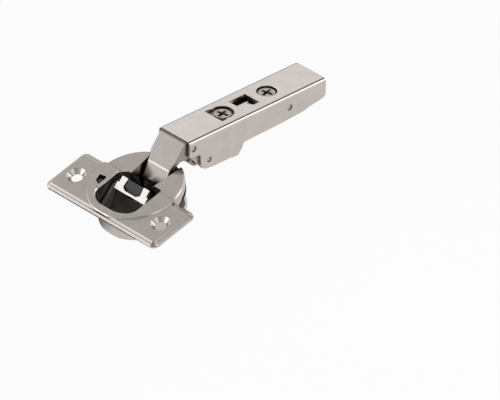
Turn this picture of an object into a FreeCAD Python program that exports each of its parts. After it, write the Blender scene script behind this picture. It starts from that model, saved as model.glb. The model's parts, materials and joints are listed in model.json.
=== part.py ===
import FreeCAD, Part
import math
import os

# Concealed cabinet hinge: a die-cast cup with its screw flange, an outer and an inner link,
# and a long channel arm that clips on a mounting plate. Millimetres.
# The frame: origin on the cup axis at the door face, +Z out of the cup's mouth,
# +X from the cup towards the arm and the door's edge, +Y along the screw flange.
# The hinge stands fully open.

V = FreeCAD.Vector
Y_AXIS = V(0, 1, 0)
Z_AXIS = V(0, 0, 1)

# Fits: a pin turning in its eye, two sheets that move past each other, and the narrower places
RUNNING_FIT = 0.05
SHEET_GAP = 0.4
NARROW_GAP = 0.3

# Cup
CUP_RADIUS = 17.5
CUP_SET_IN = 0.9
CUP_DEPTH = 11.6
CUP_RIM = 1.8
CUP_FLOOR = 0.8
CUP_WALL = 1.2
CUP_EDGE = 1.1
CUP_INSIDE = CUP_RADIUS - CUP_SET_IN - CUP_WALL
INSIDE_FLOOR = CUP_FLOOR - CUP_DEPTH
FRONT_WALL = 1.0
RIB_HEIGHT = 1.1
RIB_LOW = -4.1

# Screw flange with its raised centre
SCREW_SPACING = 45.0
SCREW_OFFSET = 9.5
SCREW_HOLE = 2.2
SCREW_SINK = 3.75
SCREW_MARGIN = 7.0
FLANGE_HALF_LENGTH = SCREW_SPACING / 2 + SCREW_MARGIN
FLANGE_FRONT = -CUP_RADIUS - 2.1
FLANGE_BACK = 1.8
FLANGE_THICK = 1.8
FRONT_CORNER = 2.6
BACK_CORNER = 2.4
BORDER_STEP = 0.55
BORDER_SLOPE = 0.8
BORDER_LEDGE = 0.35
DISC_RADIUS = CUP_RADIUS + 0.3
RAISED_RADIUS = CUP_RADIUS + 1.2
RAISED_HEIGHT = 0.45
FACE = FLANGE_THICK + RAISED_HEIGHT

# Mouth of the cup
MOUTH_FRONT = CUP_INSIDE - 0.5
MOUTH_HALF_WIDTH = 10.3
MOUTH_CORNER = 4.5
MOUTH_BACK = 0.8
MOUTH_STEP = 2.4
MOUTH_BEVEL = 0.5
SLOT_CLEARANCE = 0.45
SLOT_SPREAD = 1.0
SLOT_FLOOR = -1.2

# Linkage, side view (x, z), in the open pose
OPEN_PITCH = 15.33
TURN = 90.0 + OPEN_PITCH
LINK_SWING = 110.0
OUTER_CUP_PIVOT = (9.6, -6.8)
INNER_CUP_PIVOT_Z = -2.5
ARM_ORIGIN = (17.90, -4.29)
OUTER_ARM_PIVOT = (2.0, 11.25)
INNER_ARM_PIVOT = (9.9, 3.6)
OUTER_CUP_PIN = 1.4
INNER_CUP_PIN = 1.1
OUTER_ARM_PIN = 1.3
INNER_ARM_PIN = 1.2
CUP_PIN_HALF = 9.6
PIN_SHY = 0.4

# Outer link: one folded sheet
LINK_SHEET = 1.2
LINK_WIDTH = 13.4
LINK_FOOT_WIDTH = 11.4
LINK_EYE = 2.6
LINK_FOOT = (7.1, -3.3)
LINK_RIDGE = (11.5, 2.2)
LINK_TOP = (21.5, 9.75)
WAIST_START = 1.4
WAIST_END = 5.4

# Closing spring and its sleeve, on the outer link's cup pin
SPRING_WIRE = 0.32
SPRING_TURNS = 3
SPRING_LEG = 2.2
SLEEVE_RADIUS = 2.5
SLEEVE_WALL = 0.35

# Inner link
INNER_WIDTH = 7.6
INNER_HEIGHT = 2.6
INNER_SAG = 4.8
INNER_CUP_EYE = 1.9
INNER_ARM_EYE = 3.1
OPEN_EYE_CLEARANCE = 0.85

# Arm, in its own frame (a along the arm, y, h up)
ARM_LENGTH = 69.0
ARM_WIDTH = 16.4
ARM_SHEET = 1.2
ARM_TOP = 14.5
ARM_BEND = 1.3
FRONT_EDGE = 7.85
FRONT_STEP = (5.5, 7.4)
LOBE_FRONT = (5.9, 2.6)
LOBE_FOOT = (7.4, 0.5)
LUG_DROP = 0.35
LUG_LENGTH = 3.4
ARM_WAIST = 4.35
ARM_HEEL = 7.6
SIDE_SCREW_AT = 24.0
DEPTH_SCREW_AT = 46.5
SIDE_SCREW_OPENING = 4.4
SIDE_OPENING_FRONT = 4.5
SIDE_OPENING_HALF_WIDTH = 4.9
DEPTH_SCREW_OPENING = 3.9
WINDOW_HALF_LENGTH = 4.15
WINDOW_LEG = 3.1
WINDOW_HALF_WIDTH = 3.85
WINDOW_BAR = -0.5
DENT_RADIUS = 0.9
TILT_PIVOT = (ARM_LENGTH - 18.35, 9.35)
TILT_PIN = 1.3
TILT_RANGE = 2.1

# Pivot bracket inside the front of the arm
BRACKET_SHEET = 0.9
BRACKET_TOE = (1.6, 7.0)
BRACKET_FOOT = (7.4, 0.3)
BRACKET_REAR = 12.6
BRACKET_TOP = 11.4
BRACKET_BACK_WIDTH = 3.2

# Inner channel, which tilts for the side adjustment
CHANNEL_SHEET = 1.1
CHANNEL_WIDTH = ARM_WIDTH - 2 * ARM_SHEET - 2 * SHEET_GAP
CHANNEL_TOP = ARM_TOP - 3.3
CHANNEL_FRONT = BRACKET_REAR + 0.9
CHANNEL_REAR = ARM_LENGTH - 5.5
CHANNEL_FRONT_LOW = 3.2
CHANNEL_LOW = 2.4
CHANNEL_WAIST = 6.0
NUT_THICK = 2.2
NUT_HALF = 4.0
TILT_ROOM = 0.3

# Adjusting screws
SCREW_HEAD = 3.25
HEAD_BELOW_TOP = 0.6
COLLAR_RADIUS = 5.2
COLLAR_THICK = 0.6
SIDE_SHANK = 2.0
SIDE_SHANK_END = 2.6
DEPTH_NECK = 2.4
RECESS_REACH = 2.6
RECESS_HALF_WIDTH = 0.6
RECESS_DEPTH = 1.9
RECESS_TURN = 12

# Clip base, which slides for the depth adjustment
BASE_SHEET = 1.2
BASE_HALF_WIDTH = CHANNEL_WIDTH / 2 - CHANNEL_SHEET - NARROW_GAP
BASE_FRONT = SIDE_SCREW_AT + 6.4
BASE_REAR = ARM_LENGTH - 8.5
BASE_HOOK_LOW = 4.5
BASE_WAIST = 6.6
BASE_LUG_LOW = 5.4
SLIDE_GAP = 0.2
BASE_TOP = CHANNEL_TOP - CHANNEL_SHEET - SLIDE_GAP
CAM_THROW = 2.3
CAM_PIN = 1.4
CAM_SLACK = 0.2
DEPTH_TURN = 45.0
DEPTH_TRAVEL = 1.65
HOOK_PIN = 1.2
HOOK_AT = (BASE_FRONT + 3.0, 5.9)

# Release lever at the rear, with its leaf spring
LEVER_PIVOT = (BASE_REAR - 6.5, 6.9)
LEVER_PIN = 1.0
LEVER_SHEET = 1.2
LEVER_HALF_WIDTH = BASE_HALF_WIDTH - BASE_SHEET - NARROW_GAP
LEVER_END = ARM_LENGTH - 1.5
LEVER_HOOK = 3.4
LEAF_THICK = 0.3
LEAF_HALF_WIDTH = 1.8

# Soft-close damper in the cup
DAMPER_SLOPE = 53.0
DAMPER_TRAVEL = 8.8
TRAY_FIT = 0.1
TRAY_FLOOR = 0.7
CHEEK_INSIDE = 8.5
CHEEK_THICK = 1.5
CHEEK_TOP = -0.6
SLIDER_FRONT = (-4.5, -0.7)
SLIDER_BACK = (0.0, 2.35)
SLIDER_HALF_WIDTH = 8.1
SLIDER_TOP_HALF_WIDTH = 7.2
SLIDER_INSIDE = 4.5
SLIDER_BAND = 0.9
SLIDER_THICK = 1.0
BLOCK_THICK = 1.6
GROOVE_FIT = 0.12
GUIDE_THICK = 1.4
GUIDE_LENGTH = 1.6
GUIDE_BELOW = 1.9
CAP_WIDTH = (4.2, 8.8)
CAP_HEIGHT = (-7.4, -4.4)
CAP_PROUD = 0.5

# Soft-close switch in the flange's small slot
SWITCH_SLOT = ((-3.9, 11.6, 0.5), (-4.2, 15.0, 0.5), (-7.4, 13.9, 0.5), (-8.6, 11.4, 0.5))
SWITCH_BLOCK = ((-5.4, 11.75), (-5.4, 13.9), (-7.3, 13.6), (-8.2, 11.75))
SWITCH_DEPTH = 2.6
SWITCH_SUNK = 0.6
SWITCH_TRAVEL = 1.1


# Helpers for outlines. A corner is (u, v) or (u, v, radius).

def corner_directions(corners, i):
    """Unit directions into and out of a corner."""
    point = V(corners[i][0], corners[i][1], 0)
    before = V(corners[i - 1][0], corners[i - 1][1], 0)
    following = corners[(i + 1) % len(corners)]
    after = V(following[0], following[1], 0)
    return (point - before).normalize(), (after - point).normalize()


def rounded_outline(corners, lift):
    """A closed wire through the corners, with round stretches as arcs; lift maps (u, v) to space."""
    count = len(corners)
    starts, ends, arcs = [], [], []
    for i in range(count):
        point = V(corners[i][0], corners[i][1], 0)
        radius = corners[i][2] if len(corners[i]) > 2 else 0.0
        if radius <= 0:
            starts.append(point)
            ends.append(point)
            arcs.append(None)
            continue
        arriving, leaving = corner_directions(corners, i)
        before = arriving * -1
        half = before.getAngle(leaving) / 2
        reach = radius / math.tan(half)
        middle = (before + leaving).normalize()
        centre = point + middle * (radius / math.sin(half))
        starts.append(point + before * reach)
        ends.append(point + leaving * reach)
        arcs.append(centre - middle * radius)
    edges = []
    for i in range(count):
        if arcs[i] is not None:
            edges.append(Part.Arc(lift(starts[i]), lift(arcs[i]), lift(ends[i])).toShape())
        following = starts[(i + 1) % count]
        if ends[i].distanceToPoint(following) > 1e-6:
            edges.append(Part.LineSegment(lift(ends[i]), lift(following)).toShape())
    return Part.Wire(edges)


def grown(corners, by):
    """The corners of the same outline moved outward; corners run anticlockwise."""
    moved = []
    for i in range(len(corners)):
        arriving, leaving = corner_directions(corners, i)
        out = V(arriving.y + leaving.y, -arriving.x - leaving.x, 0)
        step = out * (by / (1 + arriving.dot(leaving)))
        radius = corners[i][2] if len(corners[i]) > 2 else 0.0
        if radius > 0:
            hollow = arriving.x * leaving.y < arriving.y * leaving.x
            radius = max(radius - by if hollow else radius + by, 0.1)
        moved.append((corners[i][0] + step.x, corners[i][1] + step.y, radius))
    return moved


def side_plate(corners, y_low, y_high):
    """A plate with its outline in the side view (x, z), from y_low to y_high."""
    wire = rounded_outline(corners, lambda p: V(p.x, y_low, p.y))
    return Part.Face(wire).extrude(V(0, y_high - y_low, 0))


def top_plate(corners, z_low, z_high):
    """A plate with its outline in the top view (x, y), from z_low to z_high."""
    wire = rounded_outline(corners, lambda p: V(p.x, p.y, z_low))
    return Part.Face(wire).extrude(V(0, 0, z_high - z_low))


def tapered_plate(corners, by, z_low, z_high):
    """A plate whose outline grows by a distance from z_low to z_high."""
    low = rounded_outline(corners, lambda p: V(p.x, p.y, z_low))
    high = rounded_outline(grown(corners, by), lambda p: V(p.x, p.y, z_high))
    return Part.makeLoft([low, high], True, True)


def sloping_plate(start, end, corners, low, high):
    """A plate on a slope across the side view; corners are (along the slope from start, y)."""
    u = unit(start, end)
    normal = V(-u[1], 0, u[0])
    base = V(start[0], 0, start[1]) + normal * low
    wire = rounded_outline(corners, lambda p: base + V(u[0] * p.x, p.y, u[1] * p.x))
    return Part.Face(wire).extrude(normal * (high - low))


def cross_bar(x, z, radius, y_low, y_high):
    """A round bar along Y."""
    return Part.makeCylinder(radius, y_high - y_low, V(x, y_low, z), Y_AXIS)


def upright(x, y, radius, z_low, z_high):
    """A round bar along Z."""
    return Part.makeCylinder(radius, z_high - z_low, V(x, y, z_low), Z_AXIS)


def box(x_low, x_high, y_low, y_high, z_low, z_high):
    return Part.makeBox(x_high - x_low, y_high - y_low, z_high - z_low, V(x_low, y_low, z_low))


def mirrored(shape):
    return shape.mirror(V(0, 0, 0), Y_AXIS)


def both_sides(shape):
    return shape.fuse(mirrored(shape))


def one(shape):
    """The shape's single solid, with needless seams removed."""
    cleaned = shape.removeSplitter()
    if len(cleaned.Solids) == 1:
        return cleaned.Solids[0]
    return cleaned


def unit(start, end):
    dx = end[0] - start[0]
    dz = end[1] - start[1]
    length = math.hypot(dx, dz)
    return (dx / length, dz / length)


def distance(start, end):
    return math.hypot(end[0] - start[0], end[1] - start[1])


# Placing of the arm's pieces, which are drawn along the arm.

def on_arm(shape):
    """Turns a piece from the arm's own frame to the open pose."""
    placed = shape.copy()
    placed.rotate(V(0, 0, 0), Y_AXIS, OPEN_PITCH)
    placed.translate(V(ARM_ORIGIN[0], 0, ARM_ORIGIN[1]))
    return placed


def arm_point(point):
    """A point (a, h) of the arm in the hinge's side view (x, z)."""
    turn = math.radians(OPEN_PITCH)
    x = ARM_ORIGIN[0] + point[0] * math.cos(turn) + point[1] * math.sin(turn)
    z = ARM_ORIGIN[1] - point[0] * math.sin(turn) + point[1] * math.cos(turn)
    return (x, z)


def turned(point, centre, degrees):
    """A side-view point turned from +X towards +Z about a centre."""
    turn = math.radians(degrees)
    u = point[0] - centre[0]
    v = point[1] - centre[1]
    x = centre[0] + u * math.cos(turn) - v * math.sin(turn)
    z = centre[1] + u * math.sin(turn) + v * math.cos(turn)
    return (x, z)


# Linkage: the arm pivots in the open pose, and the inner link's cup pivot, which lies
# equally far from its arm pivot in the open and in the closed pose.

PIVOT_A = arm_point(OUTER_ARM_PIVOT)
PIVOT_B = arm_point(INNER_ARM_PIVOT)
CLOSED_A = turned(PIVOT_A, OUTER_CUP_PIVOT, LINK_SWING)
ARM_STEP = (CLOSED_A[0] - PIVOT_A[0], CLOSED_A[1] - PIVOT_A[1])
CLOSED_B_FROM = turned(PIVOT_B, PIVOT_A, TURN)
CLOSED_B = (CLOSED_B_FROM[0] + ARM_STEP[0], CLOSED_B_FROM[1] + ARM_STEP[1])


def inner_cup_pivot():
    middle = ((PIVOT_B[0] + CLOSED_B[0]) / 2, (PIVOT_B[1] + CLOSED_B[1]) / 2)
    across = (CLOSED_B[0] - PIVOT_B[0], CLOSED_B[1] - PIVOT_B[1])
    x = middle[0] - (INNER_CUP_PIVOT_Z - middle[1]) * across[1] / across[0]
    return (x, INNER_CUP_PIVOT_Z)


INNER_CUP_PIVOT = inner_cup_pivot()


def bearing(point, centre):
    return math.degrees(math.atan2(point[1] - centre[1], point[0] - centre[0]))


INNER_SWING = (bearing(CLOSED_B, INNER_CUP_PIVOT) - bearing(PIVOT_B, INNER_CUP_PIVOT)) % 360.0


def open_pivot_point(share):
    """Where the arm's pin B stands in the inner link's frame at a share of the travel."""
    a = turned(PIVOT_A, OUTER_CUP_PIVOT, LINK_SWING * share)
    b = turned(PIVOT_B, PIVOT_A, TURN * share)
    b = (b[0] + a[0] - PIVOT_A[0], b[1] + a[1] - PIVOT_A[1])
    return turned(b, INNER_CUP_PIVOT, -INNER_SWING * share)


# Cup

def cup_shell():
    """The set-in body with its wider rim and a broken edge round the floor."""
    inset = CUP_RADIUS - CUP_SET_IN
    floor = -CUP_DEPTH
    profile = [(0, 0), (CUP_RADIUS, 0), (CUP_RADIUS, -CUP_RIM), (inset, -CUP_RIM - CUP_SET_IN / 2),
               (inset, floor + CUP_EDGE), (inset - CUP_EDGE, floor), (0, floor)]
    wire = rounded_outline(profile, lambda p: V(p.x, 0, p.y))
    shell = Part.Face(wire).revolve(V(0, 0, 0), Z_AXIS, 360)
    flat = -MOUTH_FRONT - FRONT_WALL
    return shell.cut(box(-2 * CUP_RADIUS, flat, -CUP_RADIUS, CUP_RADIUS, floor - 1, -CUP_RIM))


def flange_corners():
    half = FLANGE_HALF_LENGTH
    return [(FLANGE_FRONT, -half, FRONT_CORNER), (FLANGE_BACK, -half, BACK_CORNER),
            (FLANGE_BACK, half, BACK_CORNER), (FLANGE_FRONT, half, FRONT_CORNER)]


def flange_plate():
    """The screw flange, with a border of two slopes and a ledge between them."""
    outer = flange_corners()
    inner = grown(outer, -BORDER_SLOPE - BORDER_LEDGE)
    ledge = FLANGE_THICK - BORDER_STEP
    low = ledge - BORDER_STEP
    plate = top_plate(outer, 0, low)
    plate = plate.fuse(tapered_plate(outer, -BORDER_SLOPE, low, ledge))
    return plate.fuse(tapered_plate(inner, -BORDER_SLOPE, ledge, FLANGE_THICK))


def raised_centre():
    """The disc round the cup, and the raised lens on the flange, which ends at its back edge."""
    disc = upright(0, 0, DISC_RADIUS, 0, FLANGE_THICK)
    edge = [e for e in disc.Edges if abs(e.BoundBox.ZMin - FLANGE_THICK) < 1e-6]
    disc = disc.makeChamfer(RAISED_HEIGHT, edge)
    lens = Part.makeCone(RAISED_RADIUS, RAISED_RADIUS - RAISED_HEIGHT, RAISED_HEIGHT, V(0, 0, FLANGE_THICK), Z_AXIS)
    lens = lens.fuse(upright(0, 0, RAISED_RADIUS, BORDER_STEP, FLANGE_THICK))
    reach = FLANGE_HALF_LENGTH
    front = FLANGE_FRONT + BORDER_SLOPE + BORDER_LEDGE
    wedge = top_plate([(front, -reach), (FLANGE_BACK - BORDER_LEDGE, -reach), (FLANGE_BACK - BORDER_LEDGE, reach),
                       (front, reach)], 0, FACE)
    return disc.fuse(lens.common(wedge))


def screw_holes():
    depth = SCREW_SINK - SCREW_HOLE
    y = SCREW_SPACING / 2
    hole = upright(-SCREW_OFFSET, y, SCREW_HOLE, -1, FLANGE_THICK + 1)
    sink = Part.makeCone(SCREW_HOLE, SCREW_SINK + depth, 2 * depth, V(-SCREW_OFFSET, y, FLANGE_THICK - depth), Z_AXIS)
    return both_sides(hole.fuse(sink))


def slot_half():
    """Half width of the rear slot where the links stand in it."""
    return LINK_FOOT_WIDTH / 2 + SLOT_CLEARANCE


def mouth_outline():
    wide = MOUTH_HALF_WIDTH
    corner = MOUTH_FRONT - MOUTH_CORNER * 0.6
    return [(-MOUTH_FRONT, -wide * 0.46, 2 * MOUTH_CORNER), (-corner, -wide, MOUTH_CORNER),
            (MOUTH_BACK + MOUTH_STEP, -wide, 1.0), (MOUTH_BACK + MOUTH_STEP, wide - 3.0, 0.8),
            (MOUTH_BACK, wide, 1.2), (-corner, wide, MOUTH_CORNER), (-MOUTH_FRONT, wide * 0.46, 2 * MOUTH_CORNER)]


def rear_slot():
    """The slot towards the arm, narrower at the mouth than at the cup's edge."""
    near = slot_half()
    wide = near + SLOT_SPREAD
    start = MOUTH_BACK + MOUTH_STEP
    edge = CUP_INSIDE - 1.5
    end = 2 * CUP_RADIUS
    corners = [(0, -near), (start, -near), (edge, -wide), (end, -wide), (end, wide), (edge, wide), (start, near),
               (0, near)]
    deep = top_plate(corners, INSIDE_FLOOR, FACE).common(upright(0, 0, CUP_INSIDE, INSIDE_FLOOR, FACE))
    return deep.fuse(top_plate(corners, SLOT_FLOOR, FACE + 1))


def mouth_cut():
    """The mouth with its bevelled lip, the hollow under it and the rear slot."""
    outline = mouth_outline()
    pocket = top_plate(outline, INSIDE_FLOOR, FACE + 1)
    lip = tapered_plate(outline, MOUTH_BEVEL, FACE - MOUTH_BEVEL, FACE)
    above = top_plate(grown(outline, MOUTH_BEVEL), FACE, FACE + 1)
    return pocket.fuse(lip).fuse(above).fuse(rear_slot())


def switch_cut():
    return top_plate(SWITCH_SLOT, -SWITCH_DEPTH, FACE + 1)


def cap_block(radius):
    """The damper cap's block, low on the cup's side, out to a radius."""
    inner = CUP_PIN_HALF + 0.1
    block = box(CAP_WIDTH[0], CAP_WIDTH[1], -CUP_RADIUS, -inner, CAP_HEIGHT[0], CAP_HEIGHT[1])
    return block.common(upright(0, 0, radius, -CUP_DEPTH, 0))


def crush_ribs():
    """A short rib at each side of the set-in body, which grips the bored hole."""
    inset = CUP_RADIUS - CUP_SET_IN - 0.3
    high = RIB_LOW + RIB_HEIGHT
    ridge = rounded_outline([(inset, RIB_LOW), (CUP_RADIUS, RIB_LOW + 0.4), (CUP_RADIUS, high - 0.4), (inset, high)],
                            lambda p: V(p.x, 0, p.y))
    ring = Part.Face(ridge).revolve(V(0, 0, 0), Z_AXIS, 360)
    wedge = box(CUP_RADIUS * 0.46, CUP_RADIUS * 0.92, 0, CUP_RADIUS, RIB_LOW - 1, high + 1)
    return both_sides(ring.common(wedge))


def cup_body():
    body = cup_shell().fuse(flange_plate()).fuse(raised_centre()).fuse(crush_ribs())
    body = body.cut(screw_holes()).cut(mouth_cut()).cut(switch_cut()).cut(cap_block(CUP_RADIUS))
    for pivot, radius in ((OUTER_CUP_PIVOT, OUTER_CUP_PIN), (INNER_CUP_PIVOT, INNER_CUP_PIN)):
        body = body.cut(cup_pin(pivot, radius))
    return one(body)


def cup_pin(pivot, radius):
    return cross_bar(pivot[0], pivot[1], radius, -CUP_PIN_HALF, CUP_PIN_HALF)


def damper_cap():
    """The black end cap of the damper in its window, a little proud of the set-in body."""
    cap = cap_block(CUP_RADIUS - CUP_SET_IN + CAP_PROUD)
    outer = [e for e in cap.Edges if e.BoundBox.YMax < -CUP_PIN_HALF - 1 and e.BoundBox.YLength > 1]
    return one(cap.makeChamfer(CAP_PROUD * 0.8, outer))


# Soft-close damper: tray fixed in the cup, sliding block and its steel bracket

def slope_direction():
    turn = math.radians(DAMPER_SLOPE)
    return V(-math.cos(turn), 0, -math.sin(turn))


def guide_bar(y_low, y_high, margin, length):
    """A bar along the sliding direction, which starts under the raised bracket."""
    along = slope_direction()
    across = V(-along.z, 0, along.x)
    u = unit(SLIDER_FRONT, SLIDER_BACK)
    x = (SLIDER_FRONT[0] + SLIDER_BACK[0]) / 2 + u[1] * GUIDE_BELOW
    z = (SLIDER_FRONT[1] + SLIDER_BACK[1]) / 2 - u[0] * GUIDE_BELOW
    start = V(x, y_low, z)
    half = GUIDE_THICK / 2 + margin
    corners = [start + across * half - along * margin, start - across * half - along * margin,
               start - across * half + along * (length + margin),
               start + across * half + along * (length + margin)]
    wire = Part.makePolygon(corners + [corners[0]])
    return Part.Face(wire).extrude(V(0, y_high - y_low, 0))


def damper_tray():
    """Tray with two cheeks, each grooved for the block's guide bars, and a rib along its floor."""
    floor = INSIDE_FLOOR
    outside = CHEEK_INSIDE + CHEEK_THICK
    front = -MOUTH_FRONT + 1.5
    plate = box(-MOUTH_FRONT, MOUTH_BACK, -outside, outside, floor, floor + TRAY_FLOOR)
    back = MOUTH_BACK - 0.3
    cheek = side_plate([(front, floor), (back, floor), (back, CHEEK_TOP, 0.6), (back - 3.9, CHEEK_TOP, 1.0),
                        (front + 2.4, CHEEK_TOP - 4.8, 1.5), (front, CHEEK_TOP - 8.0, 1.0)], CHEEK_INSIDE, outside)
    rib = box(front, front + 4.6, -0.5, 0.5, floor, floor + TRAY_FLOOR + 0.5)
    body = plate.fuse(both_sides(cheek)).fuse(rib)
    body = body.common(top_plate(grown(mouth_outline(), -TRAY_FIT), floor, FACE))
    groove = guide_bar(CHEEK_INSIDE - 0.1, outside - 0.5, GROOVE_FIT, GUIDE_LENGTH + DAMPER_TRAVEL)
    return one(body.cut(both_sides(groove)))


def slider_plate(corners, low, high):
    return sloping_plate(SLIDER_FRONT, SLIDER_BACK, corners, low, high)


def slider_bracket():
    """The bright U-shaped steel bracket: narrow front band, two arms with stepped outer sides."""
    length = distance(SLIDER_FRONT, SLIDER_BACK)
    foot = SLIDER_HALF_WIDTH
    half = SLIDER_TOP_HALF_WIDTH
    band = SLIDER_BAND
    inside = SLIDER_INSIDE
    step = length / 2
    outline = [(0, -foot), (0, foot), (step, foot), (step, half), (length, half, 0.4), (length, inside - 0.4, 0.4),
               (band + 1.0, inside, 0.8), (band, inside - 1.6, 1.0), (band, -inside + 1.6, 1.0),
               (band + 1.0, -inside, 0.8), (length, -inside + 0.4, 0.4), (length, -half, 0.4), (step, -half),
               (step, -foot)]
    return slider_plate(outline, -SLIDER_THICK, 0)


def slider_block():
    """The dark moulded block behind the bracket, with a guide bar at each side."""
    length = distance(SLIDER_FRONT, SLIDER_BACK)
    inner = SLIDER_INSIDE - 0.7
    raised = slider_plate([(2.1, -inner), (length - 0.2, -inner + 0.1), (length - 0.2, inner - 0.1), (2.1, inner)],
                          -SLIDER_THICK, -0.1)
    foot = SLIDER_HALF_WIDTH - 0.5
    neck = SLIDER_TOP_HALF_WIDTH - 1.0
    base = slider_plate([(0.3, -foot), (length - 0.6, -neck), (length - 0.6, neck), (0.3, foot)],
                        -SLIDER_THICK - BLOCK_THICK, -SLIDER_THICK)
    bar = guide_bar(neck - 0.2, CHEEK_INSIDE + CHEEK_THICK - 0.6, 0, GUIDE_LENGTH)
    return one(raised.fuse(base).fuse(both_sides(bar)))


def soft_close_switch():
    """A small block in the flange's slot, which slides along X."""
    return top_plate(SWITCH_BLOCK, -SWITCH_DEPTH + 0.1, FACE - SWITCH_SUNK)


# Closing spring on the outer link's cup pin, and the sleeve over it

def spring_half():
    return SPRING_WIRE * SPRING_TURNS


def closing_spring():
    """A close-wound coil, drawn as one ribbed sleeve, with a straight leg at each end."""
    inner = OUTER_CUP_PIN + RUNNING_FIT
    outer = inner + 2 * SPRING_WIRE
    half = spring_half()
    valley = outer - SPRING_WIRE * 0.7
    profile = [(inner, half), (inner, -half)]
    for turn in range(SPRING_TURNS):
        centre = -half + SPRING_WIRE * (2 * turn + 1)
        profile += [(valley, centre - SPRING_WIRE), (outer, centre)]
    profile.append((valley, half))
    outline = rounded_outline(profile, lambda p: V(p.x, p.y, 0))
    coil = Part.Face(outline).revolve(V(0, 0, 0), Y_AXIS, 360)
    middle = inner + SPRING_WIRE
    for end, turn in ((1, 70), (-1, -30)):
        start = V(middle, end * (half - SPRING_WIRE), 0)
        leg = Part.makeCylinder(SPRING_WIRE * 0.85, SPRING_LEG, start, V(0, 0, end))
        leg.rotate(V(0, 0, 0), Y_AXIS, turn)
        coil = coil.fuse(leg)
    coil.translate(V(OUTER_CUP_PIVOT[0], 0, OUTER_CUP_PIVOT[1]))
    return one(coil)


def spring_sleeve():
    """A dark sleeve between the link's eyes, open towards the spring's legs."""
    x, z = OUTER_CUP_PIVOT
    half = LINK_FOOT_WIDTH / 2 - LINK_SHEET - NARROW_GAP
    sleeve = cross_bar(x, z, SLEEVE_RADIUS, -half, half)
    sleeve = sleeve.cut(cross_bar(x, z, SLEEVE_RADIUS - SLEEVE_WALL, -half - 1, half + 1))
    reach = 2 * SLEEVE_RADIUS
    opening = [(x, z), (x - 0.1 * reach, z - reach), (x + reach, z - reach), (x + reach, z + reach)]
    return one(sleeve.cut(side_plate(opening, -half - 1, half + 1)))


# Outer link

def inward(start, end, depth):
    """Offset of a web line to its inner side, down and to the right in the side view."""
    u = unit(start, end)
    return (u[1] * depth, -u[0] * depth)


def tangent_point(outside, centre, radius):
    """Where a line from an outside point touches a circle, on its front side."""
    spread = math.acos(radius / distance(centre, outside))
    angle = math.radians(bearing(outside, centre)) + spread
    return (centre[0] + radius * math.cos(angle), centre[1] + radius * math.sin(angle))


def web_profile():
    """Side view of the folded web: foot, ridge and top, with its inner side one sheet below."""
    t = LINK_SHEET
    touch = tangent_point(LINK_FOOT, OUTER_CUP_PIVOT, LINK_EYE)
    low = inward(touch, LINK_FOOT, t)
    middle = inward(LINK_FOOT, LINK_RIDGE, t)
    high = inward(LINK_RIDGE, LINK_TOP, t)
    outer = [touch, (LINK_FOOT[0], LINK_FOOT[1], 2.0), (LINK_RIDGE[0], LINK_RIDGE[1], 1.8), LINK_TOP]
    inner = [(LINK_TOP[0] + high[0], LINK_TOP[1] + high[1]),
             (LINK_RIDGE[0] + (high[0] + middle[0]) / 2, LINK_RIDGE[1] + (high[1] + middle[1]) / 2, 0.6),
             (LINK_FOOT[0] + (low[0] + middle[0]) / 2, LINK_FOOT[1] + (low[1] + middle[1]) / 2, 0.8),
             (touch[0] + low[0], touch[1] + low[1])]
    return outer + inner


def flange_profile():
    """Side view of a link flange: deep at the arm, fading into the web towards the bend."""
    a = PIVOT_A
    top = LINK_TOP
    ridge = LINK_RIDGE
    u = unit(ridge, top)
    fade = (ridge[0] + u[0] * 3.0, ridge[1] + u[1] * 3.0)
    return [(top[0], top[1]), (a[0] + 1.6, a[1] + 2.9, 1.2), (a[0] + 2.7, a[1], 1.5), (a[0] + 0.9, a[1] - 2.9, 1.6),
            (a[0] - 2.7, a[1] - 3.7, 1.2), (a[0] - 6.7, a[1] - 2.4, 1.5), fade]


def link_waist():
    """What is cut from one side of the web, which narrows from the arm towards the bend."""
    wide = LINK_WIDTH / 2
    narrow = LINK_FOOT_WIDTH / 2
    far = 2 * LINK_WIDTH
    corners = [(-far, narrow), (WAIST_START, narrow, 6.0), (WAIST_END, wide + 0.5), (WAIST_END, far), (-far, far)]
    return sloping_plate(LINK_RIDGE, LINK_TOP, corners, -far, far)


def outer_link():
    half = LINK_WIDTH / 2
    x, z = OUTER_CUP_PIVOT
    far = (LINK_RIDGE[0] - 12, LINK_RIDGE[1] + 14)
    web = side_plate(web_profile(), -half, half)
    flange = side_plate(flange_profile(), half - LINK_SHEET, half)
    flange = flange.cut(side_plate([LINK_FOOT, LINK_RIDGE, LINK_TOP, far], -half - 1, half + 1))
    body = web.fuse(both_sides(flange)).fuse(cross_bar(x, z, LINK_EYE, -half, half))
    gap = LINK_FOOT_WIDTH / 2 - LINK_SHEET
    body = body.cut(cross_bar(x, z, SLEEVE_RADIUS + SHEET_GAP, -gap, gap))
    body = body.cut(both_sides(link_waist()))
    for pivot, pin in ((OUTER_CUP_PIVOT, OUTER_CUP_PIN), (PIVOT_A, OUTER_ARM_PIN)):
        body = body.cut(cross_bar(pivot[0], pivot[1], pin + RUNNING_FIT, -half - 1, half + 1))
    under = ARM_TOP - ARM_SHEET - SHEET_GAP
    return one(body.cut(on_arm(box(-SHEET_GAP, 10, -half - 1, half + 1, under, ARM_TOP + 5))))


# Inner link

def arch_centre():
    """Centre and radius of the arch that joins the inner link's two pivots."""
    start, end = INNER_CUP_PIVOT, PIVOT_B
    chord = distance(start, end)
    radius = (chord * chord / 4 + INNER_SAG * INNER_SAG) / (2 * INNER_SAG)
    u = unit(start, end)
    drop = radius - INNER_SAG
    x = (start[0] + end[0]) / 2 + u[1] * drop
    z = (start[1] + end[1]) / 2 - u[0] * drop
    return (x, z), radius


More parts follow.
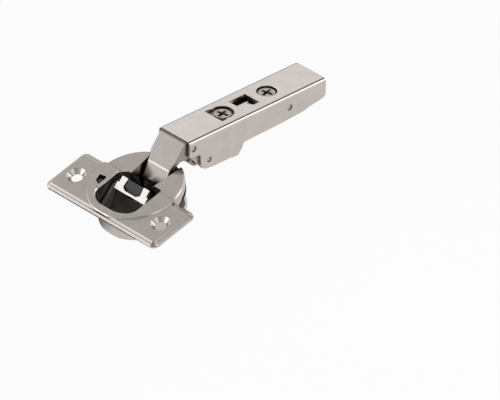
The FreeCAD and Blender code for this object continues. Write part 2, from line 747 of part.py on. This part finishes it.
def arch_band(height, y_low, y_high):
    """A band of the arch's ring between the two pivots."""
    centre, radius = arch_centre()
    edges = []
    ends = []
    for r in (radius + height / 2, radius - height / 2):
        pts = []
        for pivot in (INNER_CUP_PIVOT, PIVOT_B):
            angle = math.radians(bearing(pivot, centre))
            pts.append(V(centre[0] + r * math.cos(angle), y_low, centre[1] + r * math.sin(angle)))
        top = V(centre[0], y_low, centre[1] + r)
        edges.append(Part.Arc(pts[0], top, pts[1]).toShape())
        ends.append(pts)
    edges.append(Part.LineSegment(ends[0][0], ends[1][0]).toShape())
    edges.append(Part.LineSegment(ends[0][1], ends[1][1]).toShape())
    wire = Part.Wire(Part.__sortEdges__(edges))
    return Part.Face(wire).extrude(V(0, y_high - y_low, 0))


def slot_bar(start, end, radius, y_low, y_high):
    """A bar along Y whose section is a slot from start to end."""
    u = unit(start, end)
    n = (-u[1] * radius, u[0] * radius)
    corners = [V(start[0] + n[0], y_low, start[1] + n[1]), V(end[0] + n[0], y_low, end[1] + n[1]),
               V(end[0] - n[0], y_low, end[1] - n[1]), V(start[0] - n[0], y_low, start[1] - n[1])]
    body = Part.Face(Part.makePolygon(corners + [corners[0]])).extrude(V(0, y_high - y_low, 0))
    for point in (start, end):
        body = body.fuse(cross_bar(point[0], point[1], radius, y_low, y_high))
    return one(body)


def inner_link():
    half = INNER_WIDTH / 2
    x, z = INNER_CUP_PIVOT
    body = arch_band(INNER_HEIGHT, -half, half).fuse(cross_bar(x, z, INNER_CUP_EYE, -half, half))
    far = open_pivot_point(0.5)
    body = body.fuse(slot_bar(PIVOT_B, far, INNER_ARM_EYE, -half, half))
    body = body.cut(cross_bar(x, z, INNER_CUP_PIN + RUNNING_FIT, -half - 1, half + 1))
    slot = slot_bar(PIVOT_B, far, INNER_ARM_PIN + OPEN_EYE_CLEARANCE, -half - 1, half + 1)
    return one(body.cut(slot))


# Arm

def arm_side():
    """Side outline of the arm in its own frame, from the front round to the rear."""
    top = ARM_TOP
    end = ARM_LENGTH
    lobe = SIDE_SCREW_AT + 0.6
    lug = lobe - LUG_LENGTH
    return [(0, top), (0, FRONT_EDGE, 0.6), (FRONT_STEP[0], FRONT_STEP[1], 0.8), (LOBE_FRONT[0], LOBE_FRONT[1], 1.0),
            (LOBE_FOOT[0], LOBE_FOOT[1], 1.6), (LOBE_FOOT[0] + 4.6, 0, 2.0), (lug, 0), (lug + 0.3, -LUG_DROP),
            (lobe, -LUG_DROP, 1.0), (lobe + 2.0, ARM_WAIST / 2, 1.5), (lobe + 2.6, ARM_WAIST - 0.35, 1.2),
            (end - 23.0, ARM_WAIST), (end - 11.0, ARM_WAIST + 0.65), (end - 8.2, ARM_WAIST + 1.45),
            (end - 1.2, ARM_HEEL - 0.9, 1.4), (end, ARM_HEEL, 1.0), (end, top)]


def arm_channel():
    half = ARM_WIDTH / 2
    body = side_plate(arm_side(), -half, half)
    long_edges = []
    for e in body.Edges:
        b = e.BoundBox
        if abs(b.ZMin - ARM_TOP) < 1e-6 and b.YLength < 1e-6 and b.XLength > ARM_LENGTH / 2:
            long_edges.append(e)
    body = body.makeFillet(ARM_BEND, long_edges)
    inside = half - ARM_SHEET
    under = ARM_TOP - ARM_SHEET
    body = body.cut(box(-1, ARM_LENGTH + 1, -inside, inside, -1, under))
    body = body.cut(side_screw_opening()).cut(window_opening())
    body = body.cut(upright(DEPTH_SCREW_AT, 0, DEPTH_SCREW_OPENING, under - 1, ARM_TOP + 1))
    for pivot, radius in ((OUTER_ARM_PIVOT, OUTER_ARM_PIN), (INNER_ARM_PIVOT, INNER_ARM_PIN),
                          (TILT_PIVOT, TILT_PIN)):
        body = body.cut(cross_bar(pivot[0], pivot[1], radius, -half - 1, half + 1))
    return on_arm(one(body))


def side_screw_opening():
    low, high = ARM_TOP - ARM_SHEET - 1, ARM_TOP + 1
    front = SIDE_SCREW_AT - SIDE_OPENING_FRONT
    rear = SIDE_SCREW_AT - SIDE_SCREW_OPENING / 3
    wide = SIDE_OPENING_HALF_WIDTH
    square = top_plate([(front, -wide, 0.5), (rear, -wide + 0.6), (rear, wide - 0.6), (front, wide, 0.5)], low, high)
    return square.fuse(upright(SIDE_SCREW_AT, 0, SIDE_SCREW_OPENING, low, high))


def window_opening():
    """The L-shaped window between the two screws, with a small round dent in its corner."""
    low, high = ARM_TOP - ARM_SHEET - 1, ARM_TOP + 1
    middle = (SIDE_SCREW_AT + DEPTH_SCREW_AT) / 2 - 0.3
    front, rear = middle - WINDOW_HALF_LENGTH, middle + WINDOW_HALF_LENGTH
    leg = rear - WINDOW_LEG
    wide = WINDOW_HALF_WIDTH
    window = top_plate([(front, WINDOW_BAR), (front, wide), (rear, wide), (rear, -wide), (leg, -wide),
                        (leg, WINDOW_BAR)], low, high)
    dent = upright(leg - DENT_RADIUS / 3, (WINDOW_BAR - wide) / 2, DENT_RADIUS, ARM_TOP - ARM_SHEET / 3, high)
    return window.fuse(dent)


def arm_pin(pivot, radius):
    half = ARM_WIDTH / 2 - PIN_SHY
    return on_arm(cross_bar(pivot[0], pivot[1], radius, -half, half))


def tilt_rivet(side):
    """One of the two short rivets low at the arm's rear, through arm and inner channel."""
    near = CHANNEL_WIDTH / 2 - CHANNEL_SHEET
    rivet = cross_bar(TILT_PIVOT[0], TILT_PIVOT[1], TILT_PIN, near, ARM_WIDTH / 2 - PIN_SHY)
    return on_arm(rivet if side > 0 else mirrored(rivet))


def pivot_bracket():
    """Two plates inside the arm's front, joined by a bridge behind the links."""
    outside = ARM_WIDTH / 2 - ARM_SHEET
    inside = outside - BRACKET_SHEET
    rear, top = BRACKET_REAR, BRACKET_TOP
    front = rear - BRACKET_BACK_WIDTH
    outline = [(BRACKET_TOE[0], BRACKET_TOE[1], 0.4), (BRACKET_FOOT[0], BRACKET_FOOT[1], 0.8),
               (rear - 0.4, BRACKET_FOOT[1]), (rear, top), (front, top), (front - 1.8, BRACKET_TOE[1] - 0.1)]
    plate = side_plate(outline, inside, outside)
    bridge = box(rear - 1.2, rear - 0.2, -inside, inside, top - 2.6, top)
    body = both_sides(plate).fuse(bridge)
    bore = cross_bar(INNER_ARM_PIVOT[0], INNER_ARM_PIVOT[1], INNER_ARM_PIN, -ARM_WIDTH, ARM_WIDTH)
    return on_arm(one(body.cut(bore)))


# Inner channel with its nut

def inner_channel():
    half = CHANNEL_WIDTH / 2
    front, rear = CHANNEL_FRONT, CHANNEL_REAR
    top = CHANNEL_TOP
    lobe = SIDE_SCREW_AT + 0.6
    outline = [(front, top), (front, CHANNEL_FRONT_LOW, 0.8), (lobe, CHANNEL_LOW, 1.0),
               (lobe + 4.0, CHANNEL_WAIST), (rear - 5.5, CHANNEL_WAIST), (rear, CHANNEL_WAIST + 1.4), (rear, top)]
    body = side_plate(outline, -half, half)
    inside = half - CHANNEL_SHEET
    body = body.cut(box(front - 1, rear + 1, -inside, inside, -1, top - CHANNEL_SHEET))
    body = body.cut(upright(SIDE_SCREW_AT, 0, SIDE_SHANK + TILT_ROOM, 0, top + 1))
    body = body.cut(upright(DEPTH_SCREW_AT, 0, DEPTH_NECK + RUNNING_FIT, top - 3, top + 1))
    bore = TILT_PIN + RUNNING_FIT
    body = body.cut(cross_bar(TILT_PIVOT[0], TILT_PIVOT[1], bore, -half - 1, half + 1))
    return on_arm(one(body))


def adjusting_nut():
    """A square nut under the inner channel's top, round the side screw's shank."""
    under = CHANNEL_TOP - CHANNEL_SHEET
    x = SIDE_SCREW_AT
    nut = box(x - NUT_HALF, x + NUT_HALF, -NUT_HALF, NUT_HALF, under - NUT_THICK, under)
    corners = [e for e in nut.Edges if e.BoundBox.ZLength > NUT_THICK / 2]
    nut = nut.makeChamfer(NUT_HALF / 5, corners)
    return on_arm(nut.cut(upright(x, 0, SIDE_SHANK + TILT_ROOM, 0, under + 1)))


# Adjusting screws

def recess_wing():
    """One bar of the cross recess, tapered towards its foot; its top lies at height 0."""
    reach = RECESS_REACH
    foot = RECESS_REACH * 0.45
    half = RECESS_HALF_WIDTH
    return side_plate([(-foot, -RECESS_DEPTH), (foot, -RECESS_DEPTH), (reach, 0.1), (-reach, 0.1)], -half, half)


def screw_body(x, low, rest):
    """A flat head from low up to just under the arm's top, fused with the rest and given its recess."""
    top = ARM_TOP - HEAD_BELOW_TOP
    body = upright(x, 0, SCREW_HEAD, low, top).fuse(rest)
    for turn in (RECESS_TURN, RECESS_TURN + 90):
        wing = recess_wing()
        wing.rotate(V(0, 0, 0), Z_AXIS, turn)
        wing.translate(V(x, 0, top))
        body = body.cut(wing)
    return on_arm(one(body))


def side_screw():
    """Head in the arm's opening, collar under the sheet, shank down through the nut."""
    under = ARM_TOP - ARM_SHEET - 0.1
    foot = under - COLLAR_THICK
    collar = upright(SIDE_SCREW_AT, 0, COLLAR_RADIUS, foot, under)
    shank = upright(SIDE_SCREW_AT, 0, SIDE_SHANK, SIDE_SHANK_END, foot)
    return screw_body(SIDE_SCREW_AT, foot, collar.fuse(shank))


def depth_screw():
    """Head over the inner channel, neck through its top, and an eccentric pin below."""
    x = DEPTH_SCREW_AT
    seat = CHANNEL_TOP + RUNNING_FIT
    under = CHANNEL_TOP - CHANNEL_SHEET - SLIDE_GAP / 2
    neck = upright(x, 0, DEPTH_NECK, under, seat)
    pin = upright(x, CAM_THROW, CAM_PIN, BASE_TOP - BASE_SHEET, under)
    return screw_body(x, seat, neck.fuse(pin))


# Clip base with hooks, its pins, release lever and leaf spring

def clip_base():
    top = BASE_TOP
    half = BASE_HALF_WIDTH
    front, rear = BASE_FRONT, BASE_REAR
    lug = LEVER_PIVOT[0] - 4.5
    outline = [(front, top), (front, BASE_HOOK_LOW, 0.8), (front + 6.0, BASE_HOOK_LOW, 1.0),
               (front + 7.2, BASE_WAIST), (lug, BASE_WAIST), (lug + 1.1, BASE_LUG_LOW), (rear - 2, BASE_LUG_LOW),
               (rear, BASE_WAIST + 1.0), (rear, top)]
    body = side_plate(outline, -half, half)
    inside = half - BASE_SHEET
    body = body.cut(box(front - 1, rear + 1, -inside, inside, 0, top - BASE_SHEET))
    wide = CAM_PIN + CAM_SLACK
    near = CAM_THROW * math.cos(math.radians(DEPTH_TURN)) - wide
    x = DEPTH_SCREW_AT
    body = body.cut(box(x - wide, x + wide, near, CAM_THROW + wide, top - BASE_SHEET - 1, top + 1))
    for pivot, pin in ((HOOK_AT, HOOK_PIN), (LEVER_PIVOT, LEVER_PIN)):
        body = body.cut(cross_bar(pivot[0], pivot[1], pin, -half - 1, half + 1))
    return on_arm(one(body))


def base_pin(point, radius):
    half = BASE_HALF_WIDTH
    return on_arm(cross_bar(point[0], point[1], radius, -half, half))


def release_lever():
    """A folded lever on its pin, with a hook ahead and a finger tab at the arm's rear."""
    half = LEVER_HALF_WIDTH
    x, z = LEVER_PIVOT
    low = z - LEVER_SHEET * 0.4
    high = z + LEVER_SHEET * 0.6
    end = LEVER_END
    web = side_plate([(x + 1.8, high), (x + 1.8, low), (end - 1.5, low), (end, low + 1.9), (end - 1.1, low + 2.3),
                      (end - 2.2, high)], -half, half)
    hook = z - LEVER_HOOK
    cheek = side_plate([(x + 3.0, high), (x, z + 1.9, 1.4), (x - 1.9, z + 0.2, 1.2), (x - 1.6, hook), (x + 0.6, hook),
                        (x + 1.0, z - 1.4), (x + 3.0, low)], half - LEVER_SHEET, half)
    body = web.fuse(both_sides(cheek))
    bore = LEVER_PIN + RUNNING_FIT
    return on_arm(one(body.cut(cross_bar(x, z, bore, -half - 1, half + 1))))


def release_spring():
    """A short leaf folded over the lever's pin, which pushes the lever back."""
    x, z = LEVER_PIVOT
    top = BASE_TOP - BASE_SHEET
    low = top - LEAF_THICK
    outline = [(x - 3.0, top), (x - 3.0, low), (x + 1.0, low, 0.3), (x + 3.2, z + 1.25),
               (x + 3.4, z + 1.5), (x + 1.2, top, 0.3)]
    return on_arm(side_plate(outline, -LEAF_HALF_WIDTH, LEAF_HALF_WIDTH))


SHAPES = {
    "cup_body": cup_body,
    "outer_link_cup_pin": lambda: cup_pin(OUTER_CUP_PIVOT, OUTER_CUP_PIN),
    "inner_link_cup_pin": lambda: cup_pin(INNER_CUP_PIVOT, INNER_CUP_PIN),
    "closing_spring": closing_spring,
    "spring_sleeve": spring_sleeve,
    "damper_tray": damper_tray,
    "damper_cap": damper_cap,
    "slider_block": slider_block,
    "slider_bracket": slider_bracket,
    "soft_close_switch": soft_close_switch,
    "outer_link": outer_link,
    "inner_link": inner_link,
    "arm_channel": arm_channel,
    "outer_link_arm_pin": lambda: arm_pin(OUTER_ARM_PIVOT, OUTER_ARM_PIN),
    "inner_link_arm_pin": lambda: arm_pin(INNER_ARM_PIVOT, INNER_ARM_PIN),
    "tilt_rivet_left": lambda: tilt_rivet(1),
    "tilt_rivet_right": lambda: tilt_rivet(-1),
    "pivot_bracket": pivot_bracket,
    "inner_channel": inner_channel,
    "adjusting_nut": adjusting_nut,
    "side_screw": side_screw,
    "depth_screw": depth_screw,
    "clip_base": clip_base,
    "hook_pin": lambda: base_pin(HOOK_AT, HOOK_PIN),
    "lever_pin": lambda: base_pin(LEVER_PIVOT, LEVER_PIN),
    "release_lever": release_lever,
    "release_spring": release_spring,
}

os.makedirs("parts", exist_ok=True)
for name, make in SHAPES.items():
    make().exportStep("parts/" + name + ".step")
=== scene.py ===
import json
import math

import bpy
from mathutils import Matrix, Vector


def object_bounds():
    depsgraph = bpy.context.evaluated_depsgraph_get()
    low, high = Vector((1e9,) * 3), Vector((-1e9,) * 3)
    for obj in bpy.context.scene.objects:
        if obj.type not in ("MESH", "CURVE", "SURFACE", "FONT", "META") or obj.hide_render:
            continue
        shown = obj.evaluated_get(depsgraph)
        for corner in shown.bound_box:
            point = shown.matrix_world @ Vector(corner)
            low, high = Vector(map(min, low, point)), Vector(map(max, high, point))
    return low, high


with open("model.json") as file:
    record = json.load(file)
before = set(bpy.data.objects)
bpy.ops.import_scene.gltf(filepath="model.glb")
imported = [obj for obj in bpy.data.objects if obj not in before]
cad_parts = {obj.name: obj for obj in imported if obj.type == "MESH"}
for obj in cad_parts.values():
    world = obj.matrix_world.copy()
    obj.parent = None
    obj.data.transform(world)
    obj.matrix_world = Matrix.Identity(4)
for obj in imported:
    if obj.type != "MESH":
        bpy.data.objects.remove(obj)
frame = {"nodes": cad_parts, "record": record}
size_at_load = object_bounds()

MM = 0.001

# The photo's camera, fitted to the hinge's own frame: where it looks from, and how far it is rolled
LOOK_AZIMUTH = 55.72
LOOK_DOWN = 41.40
ROLL = 14.27
CAMERA_DISTANCE = 2.5
CLIP_END = 20.0
LENS = 494.2
SENSOR = 36.0
IMAGE_WIDTH = 500.0
IMAGE_HEIGHT = 400.0
ORIGIN_IN_IMAGE = (137.35, 187.77)

# The studio's walls and ceiling: tone by elevation in degrees
DOME = (
    (-90.0, 0.80),
    (0.0, 1.05),
    (20.0, 1.14),
    (30.0, 1.0),
    (38.0, 0.72),
    (44.0, 0.62),
    (52.0, 0.28),
    (90.0, 0.35),
)
# Softboxes and dark cards on the dome: azimuth, elevation, half width, half height (degrees), soft edge, tone
CARDS = (
    (-38.0, 22.0, 14.0, 9.0, 4.0, 2.4),
    (128.0, 38.0, 18.0, 8.0, 3.0, 1.25),
    (136.0, 25.0, 24.0, 4.5, 2.0, 4.6),
    (10.0, 41.0, 19.0, 11.0, 4.0, 0.08),
    (-64.0, 40.0, 17.0, 10.0, 4.0, 0.10),
    (54.0, 5.0, 24.0, 7.0, 3.0, 0.06),
)

# How much of the paper's plain white the metal shows, beside its real shading
MIRRORED_SHARE = 0.6
# How much of its plain white the camera sees, beside the shadows
SEEN_SHARE = 0.93
# Dark cards laid on the paper, seen only in the metal: share of the light that is left, then two sides,
# each with an azimuth, and how far out along it the card starts and is full, in metres
FLOOR_CARDS = (
    (0.08, (180.0, 0.029, 0.034), (90.0, 0.000, 0.007)),
    (0.25, (90.0, 0.013, 0.024), (-90.0, -0.085, -0.075)),
)
FLOOR_DROP = 9.0 * MM
FLOOR_HALF = 1.6
PAPER_CLOUD = 3.0
PAPER_ROUGHNESS = 0.9
PAPER_TONES = ((0.93, 0.93, 0.93), (0.95, 0.95, 0.95))
GLOW_TONES = ((0.99, 0.99, 0.99), (1.0, 1.0, 1.0))

# One large softbox: where it stands, what it aims at, its size in metres and its power in watts
KEY_PLACE = (0.2, -1.0, 1.4)
KEY_AIM = (0.02, 0, 0)
KEY_SIZE = (1.2, 1.2)
KEY_POWER = 4.0

# Surfaces: noise scales in waves per metre, and the depth of the relief that they give
NOISE_MIDDLE = (0.3, 0.7)
GRAIN_DETAIL = 2.0
METAL_CLOUD = 160.0
METAL_GRAIN = 5200.0
METAL_RELIEF = 0.004 * MM
METAL_TONES = (0.96, 1.04)
METAL_GLOSS = (0.88, 1.12)
PLASTIC_CLOUD = 300.0
PLASTIC_GRAIN = 6500.0
PLASTIC_RELIEF = 0.006 * MM
PLASTIC_TONES = (0.9, 1.1)
PLASTIC_GLOSS = (0.9, 1.1)
PLASTIC_SPECULAR = 0.25
EDGE_SAMPLES = 6
RECESS_SHADE_SAMPLES = 8
# How open a place has to be to keep its full tone, free of painted shade
OPEN_PLACE = 0.92


# Node helpers

def new_material(name):
    material = bpy.data.materials.new(name)
    material.use_nodes = True
    nodes = material.node_tree.nodes
    shader = next(n for n in nodes if n.type == "BSDF_PRINCIPLED")
    return material, material.node_tree, shader


def noise(tree, scale, detail=3.0):
    """A noise in object space, with its scale in waves per metre."""
    place = tree.nodes.new("ShaderNodeTexCoord")
    texture = tree.nodes.new("ShaderNodeTexNoise")
    texture.inputs["Scale"].default_value = scale
    texture.inputs["Detail"].default_value = detail
    tree.links.new(place.outputs["Object"], texture.inputs["Vector"])
    return texture.outputs["Fac"]


def spread(tree, factor, low, high):
    """Maps the middle of a noise to a range of values."""
    node = tree.nodes.new("ShaderNodeMapRange")
    node.inputs["From Min"].default_value = NOISE_MIDDLE[0]
    node.inputs["From Max"].default_value = NOISE_MIDDLE[1]
    node.inputs["To Min"].default_value = low
    node.inputs["To Max"].default_value = high
    tree.links.new(factor, node.inputs["Value"])
    return node.outputs["Result"]


def tinted(tree, factor, dark, light):
    """Maps the middle of a noise to a range of colours."""
    ramp = tree.nodes.new("ShaderNodeValToRGB")
    for stop, at, colour in zip(ramp.color_ramp.elements, NOISE_MIDDLE, (dark, light)):
        stop.position = at
        stop.color = (*colour, 1.0)
    tree.links.new(factor, ramp.inputs["Fac"])
    return ramp.outputs["Color"]


def scaled(colour, factor):
    return tuple(min(c * factor, 1.0) for c in colour)


def mottled(tree, factor, colour, shares):
    return tinted(tree, factor, *(scaled(colour, share) for share in shares))


def surface_normal(tree, factor, depth, edge):
    """Fine relief over softly rounded edges."""
    rounded = tree.nodes.new("ShaderNodeBevel")
    rounded.samples = EDGE_SAMPLES
    rounded.inputs["Radius"].default_value = edge
    bump = tree.nodes.new("ShaderNodeBump")
    bump.inputs["Strength"].default_value = 1.0
    bump.inputs["Distance"].default_value = depth
    tree.links.new(factor, bump.inputs["Height"])
    tree.links.new(rounded.outputs["Normal"], bump.inputs["Normal"])
    return bump.outputs["Normal"]


def painted_recess_shade(tree, colour, reach, hidden, darkest):
    """The colour, darker where other surfaces stand close by: painted shade in corners and recesses."""
    node = tree.nodes.new("ShaderNodeAmbientOcclusion")
    node.samples = RECESS_SHADE_SAMPLES
    node.inputs["Distance"].default_value = reach
    share = tree.nodes.new("ShaderNodeMapRange")
    share.inputs["From Min"].default_value = hidden
    share.inputs["From Max"].default_value = OPEN_PLACE
    share.inputs["To Min"].default_value = darkest
    tree.links.new(node.outputs["AO"], share.inputs["Value"])
    shade = tree.nodes.new("ShaderNodeVectorMath")
    shade.operation = "SCALE"
    tree.links.new(colour, shade.inputs["Vector"])
    tree.links.new(share.outputs["Result"], shade.inputs["Scale"])
    return shade.outputs["Vector"]


def arithmetic(tree, operation, *values):
    """A Math node; a value is a socket or a number."""
    node = tree.nodes.new("ShaderNodeMath")
    node.operation = operation
    for slot, value in zip(node.inputs, values):
        if isinstance(value, bpy.types.NodeSocket):
            tree.links.new(value, slot)
        else:
            slot.default_value = value
    return node.outputs["Value"]


def along(tree, direction, vector):
    """How far a direction socket reaches along a fixed vector."""
    node = tree.nodes.new("ShaderNodeVectorMath")
    node.operation = "DOT_PRODUCT"
    tree.links.new(direction, node.inputs[0])
    node.inputs[1].default_value = vector
    return node.outputs["Value"]


def smooth_step(tree, value, start, end):
    """Rises softly from 0 at start to 1 at end."""
    node = tree.nodes.new("ShaderNodeMapRange")
    node.interpolation_type = "SMOOTHSTEP"
    node.inputs["From Min"].default_value = start
    node.inputs["From Max"].default_value = end
    tree.links.new(value, node.inputs["Value"])
    return node.outputs["Result"]


def shader_mix(tree, share, first, second):
    node = tree.nodes.new("ShaderNodeMixShader")
    tree.links.new(share, node.inputs["Fac"])
    tree.links.new(first, node.inputs[1])
    tree.links.new(second, node.inputs[2])
    return node.outputs["Shader"]


def dome_direction(azimuth, elevation):
    a, e = math.radians(azimuth), math.radians(elevation)
    return Vector((math.cos(a) * math.cos(e), math.sin(a) * math.cos(e), math.sin(e)))


# Finishes of the CAD nodes, by material slot

def plated_metal(name, colour, roughness, edge=0.25 * MM, reach=1.6 * MM, hidden=0.40, darkest=0.3):
    """Satin plating: faint cloudy tone, uneven gloss, a very fine grain, and painted shade in recesses."""
    material, tree, shader = new_material(name)
    shader.inputs["Metallic"].default_value = 1.0
    cloud = noise(tree, METAL_CLOUD)
    grain = noise(tree, METAL_GRAIN, GRAIN_DETAIL)
    tone = mottled(tree, cloud, colour, METAL_TONES)
    gloss = spread(tree, grain, *(roughness * share for share in METAL_GLOSS))
    # The base colour carries painted shade where other surfaces stand close by
    tree.links.new(painted_recess_shade(tree, tone, reach, hidden, darkest), shader.inputs["Base Color"])
    tree.links.new(gloss, shader.inputs["Roughness"])
    tree.links.new(surface_normal(tree, grain, METAL_RELIEF, edge), shader.inputs["Normal"])
    return material


def moulded_plastic(name, colour, roughness, edge=0.2 * MM):
    """Moulded plastic with a fine spark-eroded grain."""
    material, tree, shader = new_material(name)
    shader.inputs["Specular IOR Level"].default_value = PLASTIC_SPECULAR
    cloud = noise(tree, PLASTIC_CLOUD)
    grain = noise(tree, PLASTIC_GRAIN, GRAIN_DETAIL)
    gloss = spread(tree, grain, *(roughness * share for share in PLASTIC_GLOSS))
    tree.links.new(mottled(tree, cloud, colour, PLASTIC_TONES), shader.inputs["Base Color"])
    tree.links.new(gloss, shader.inputs["Roughness"])
    tree.links.new(surface_normal(tree, grain, PLASTIC_RELIEF, edge), shader.inputs["Normal"])
    return material


FINISHES = {
    # reach, hidden and darkest set each finish's painted shade in recesses; the cast body's reaches further,
    # to paint the shade under the flange
    "cast_nickel": plated_metal(
        "cast_nickel", (0.57, 0.52, 0.48), 0.20, edge=0.15 * MM, reach=3.0 * MM, hidden=0.56, darkest=0.15),
    "link_nickel": plated_metal("link_nickel", (0.335, 0.311, 0.293), 0.20, edge=0.9 * MM, darkest=0.6),
    "arm_nickel": plated_metal("arm_nickel", (0.61, 0.562, 0.525), 0.20, edge=0.35 * MM),
    "inner_steel": plated_metal("inner_steel", (0.50, 0.46, 0.43), 0.32),
    "screw_steel": plated_metal("screw_steel", (0.44, 0.41, 0.385), 0.26, edge=0.15 * MM),
    "pin_steel": plated_metal("pin_steel", (0.50, 0.47, 0.44), 0.24, edge=0.15 * MM),
    "spring_steel": plated_metal("spring_steel", (0.16, 0.16, 0.17), 0.40, edge=0.1 * MM),
    "bright_steel": plated_metal("bright_steel", (0.74, 0.715, 0.69), 0.24, edge=0.15 * MM),
    "dark_plastic": moulded_plastic("dark_plastic", (0.060, 0.059, 0.060), 0.45),
}
# The tray at the cup's bottom is a browner plastic than the rest of its slot
NODE_FINISHES = {
    "damper_tray": moulded_plastic("tray_plastic", (0.150, 0.138, 0.115), 0.40),
}


def finish_nodes():
    slots = {s["node"]: s["material_slot"] for s in frame["record"]["subparts"]}
    for node, piece in frame["nodes"].items():
        piece.data.materials.clear()
        piece.data.materials.append(NODE_FINISHES.get(node, FINISHES[slots[node]]))


finish_nodes()


# Floor, backdrop and light

def paper():
    """White paper, which shows plain white, also in the metal, with only a breath of the shadows."""
    material, tree, shader = new_material("paper")
    cloud = noise(tree, PAPER_CLOUD)
    tree.links.new(tinted(tree, cloud, *PAPER_TONES), shader.inputs["Base Color"])
    shader.inputs["Roughness"].default_value = PAPER_ROUGHNESS
    glow = tree.nodes.new("ShaderNodeEmission")
    tree.links.new(tinted(tree, cloud, *GLOW_TONES), glow.inputs["Color"])
    path = tree.nodes.new("ShaderNodeLightPath")
    mirrored = arithmetic(tree, "MAXIMUM", path.outputs["Is Glossy Ray"], path.outputs["Is Transmission Ray"])
    seen = arithmetic(tree, "MULTIPLY", path.outputs["Is Camera Ray"], SEEN_SHARE)
    share = arithmetic(tree, "MULTIPLY_ADD", mirrored, MIRRORED_SHARE, seen)
    lit = shader_mix(tree, share, shader.outputs["BSDF"], glow.outputs["Emission"])
    black = tree.nodes.new("ShaderNodeEmission")
    black.inputs["Strength"].default_value = 0.0
    hidden = arithmetic(tree, "MULTIPLY", mirrored, floor_cards_mask(tree))
    surface = shader_mix(tree, hidden, lit, black.outputs["Emission"])
    output = next(n for n in tree.nodes if n.type == "OUTPUT_MATERIAL")
    tree.links.new(surface, output.inputs["Surface"])
    return material


def floor_cards_mask(tree):
    """How much of the paper's light the dark cards take away."""
    place = tree.nodes.new("ShaderNodeTexCoord").outputs["Object"]
    covered = 0.0
    for left, *sides in FLOOR_CARDS:
        card = 1.0 - left
        for azimuth, start, end in sides:
            side = smooth_step(tree, along(tree, place, dome_direction(azimuth, 0.0)), start, end)
            card = arithmetic(tree, "MULTIPLY", side, card)
        covered = arithmetic(tree, "MAXIMUM", card, covered)
    return covered


def add_floor():
    z = size_at_load[0][2] - FLOOR_DROP
    corners = [(x * FLOOR_HALF, y * FLOOR_HALF, z) for x, y in ((-1, -1), (1, -1), (1, 1), (-1, 1))]
    mesh = bpy.data.meshes.new("floor")
    mesh.from_pydata(corners, [], [(0, 1, 2, 3)])
    mesh.materials.append(paper())
    floor = bpy.data.objects.new("floor", mesh)
    bpy.context.scene.collection.objects.link(floor)


def add_key():
    data = bpy.data.lights.new("key", "AREA")
    data.shape = "RECTANGLE"
    data.size, data.size_y = KEY_SIZE
    data.energy = KEY_POWER
    lamp = bpy.data.objects.new("key", data)
    lamp.location = KEY_PLACE
    lamp.rotation_euler = (Vector(KEY_AIM) - Vector(KEY_PLACE)).to_track_quat("-Z", "Y").to_euler()
    bpy.context.scene.collection.objects.link(lamp)


def card_mask(tree, direction, azimuth, elevation, half_width, half_height, soft):
    """1 inside a rectangle of the dome, with a soft edge, and 0 outside."""
    centre = dome_direction(azimuth, elevation)
    across = dome_direction(azimuth + 90.0, 0.0)
    mask = arithmetic(tree, "GREATER_THAN", along(tree, direction, centre), 0.0)
    for vector, half in ((across, half_width), (centre.cross(across), half_height)):
        place = arithmetic(tree, "ABSOLUTE", along(tree, direction, vector))
        outer, inner = math.sin(math.radians(half + soft)), math.sin(math.radians(half - soft))
        mask = arithmetic(tree, "MULTIPLY", mask, smooth_step(tree, place, outer, inner))
    return mask


def add_world():
    """A soft studio dome: bright walls all round, a darker ceiling, and a few cards."""
    world = bpy.data.worlds.new("studio")
    world.use_nodes = True
    tree = world.node_tree
    background = next(n for n in tree.nodes if n.type == "BACKGROUND")
    background.inputs["Color"].default_value = (1.0, 1.0, 1.0, 1.0)
    direction = tree.nodes.new("ShaderNodeTexCoord").outputs["Generated"]
    split = tree.nodes.new("ShaderNodeSeparateXYZ")
    tree.links.new(direction, split.inputs["Vector"])
    place = arithmetic(tree, "MULTIPLY_ADD", split.outputs["Z"], 0.5, 0.5)
    ramp = tree.nodes.new("ShaderNodeValToRGB")
    stops = ramp.color_ramp.elements
    for i, (elevation, tone) in enumerate(DOME):
        at = 0.5 + 0.5 * math.sin(math.radians(elevation))
        stop = stops[i] if i < 2 else stops.new(at)
        stop.position = at
        stop.color = (tone, tone, tone, 1.0)
    tree.links.new(place, ramp.inputs["Fac"])
    tone = ramp.outputs["Color"]
    for *card, card_tone in CARDS:
        mask = card_mask(tree, direction, *card)
        step = arithmetic(tree, "SUBTRACT", card_tone, tone)
        tone = arithmetic(tree, "MULTIPLY_ADD", mask, step, tone)
    tree.links.new(tone, background.inputs["Strength"])
    bpy.context.scene.world = world


add_floor()
add_world()
add_key()


# Camera

def photo_axes():
    """Right, up and forward of the photo's camera, with the hinge's origin on its line of sight."""
    forward = dome_direction(LOOK_AZIMUTH, -LOOK_DOWN)
    roll = math.radians(ROLL)
    level_right = forward.cross(Vector((0, 0, 1))).normalized()
    level_up = level_right.cross(forward)
    up = level_up * math.cos(roll) + level_right * math.sin(roll)
    return forward.cross(up), up, forward


def add_camera():
    """Stands on that line, turned a little, so that the origin falls where the photo has it."""
    right, up, forward = photo_axes()
    data = bpy.data.cameras.new("camera")
    data.lens = LENS
    data.sensor_width = SENSOR
    data.clip_end = CLIP_END
    focal = LENS / SENSOR * IMAGE_WIDTH
    across = IMAGE_WIDTH / 2 - ORIGIN_IN_IMAGE[0]
    below = IMAGE_HEIGHT / 2 - ORIGIN_IN_IMAGE[1]
    aim = (forward * focal + right * across - up * below).normalized()
    side = aim.cross(up).normalized()
    turn = Matrix((side, side.cross(aim), -aim)).transposed()
    camera = bpy.data.objects.new("camera", data)
    camera.matrix_world = Matrix.Translation(-forward * CAMERA_DISTANCE) @ turn.to_4x4()
    bpy.context.scene.collection.objects.link(camera)
    bpy.context.scene.camera = camera


add_camera()
bpy.context.scene.view_settings.view_transform = "Standard"
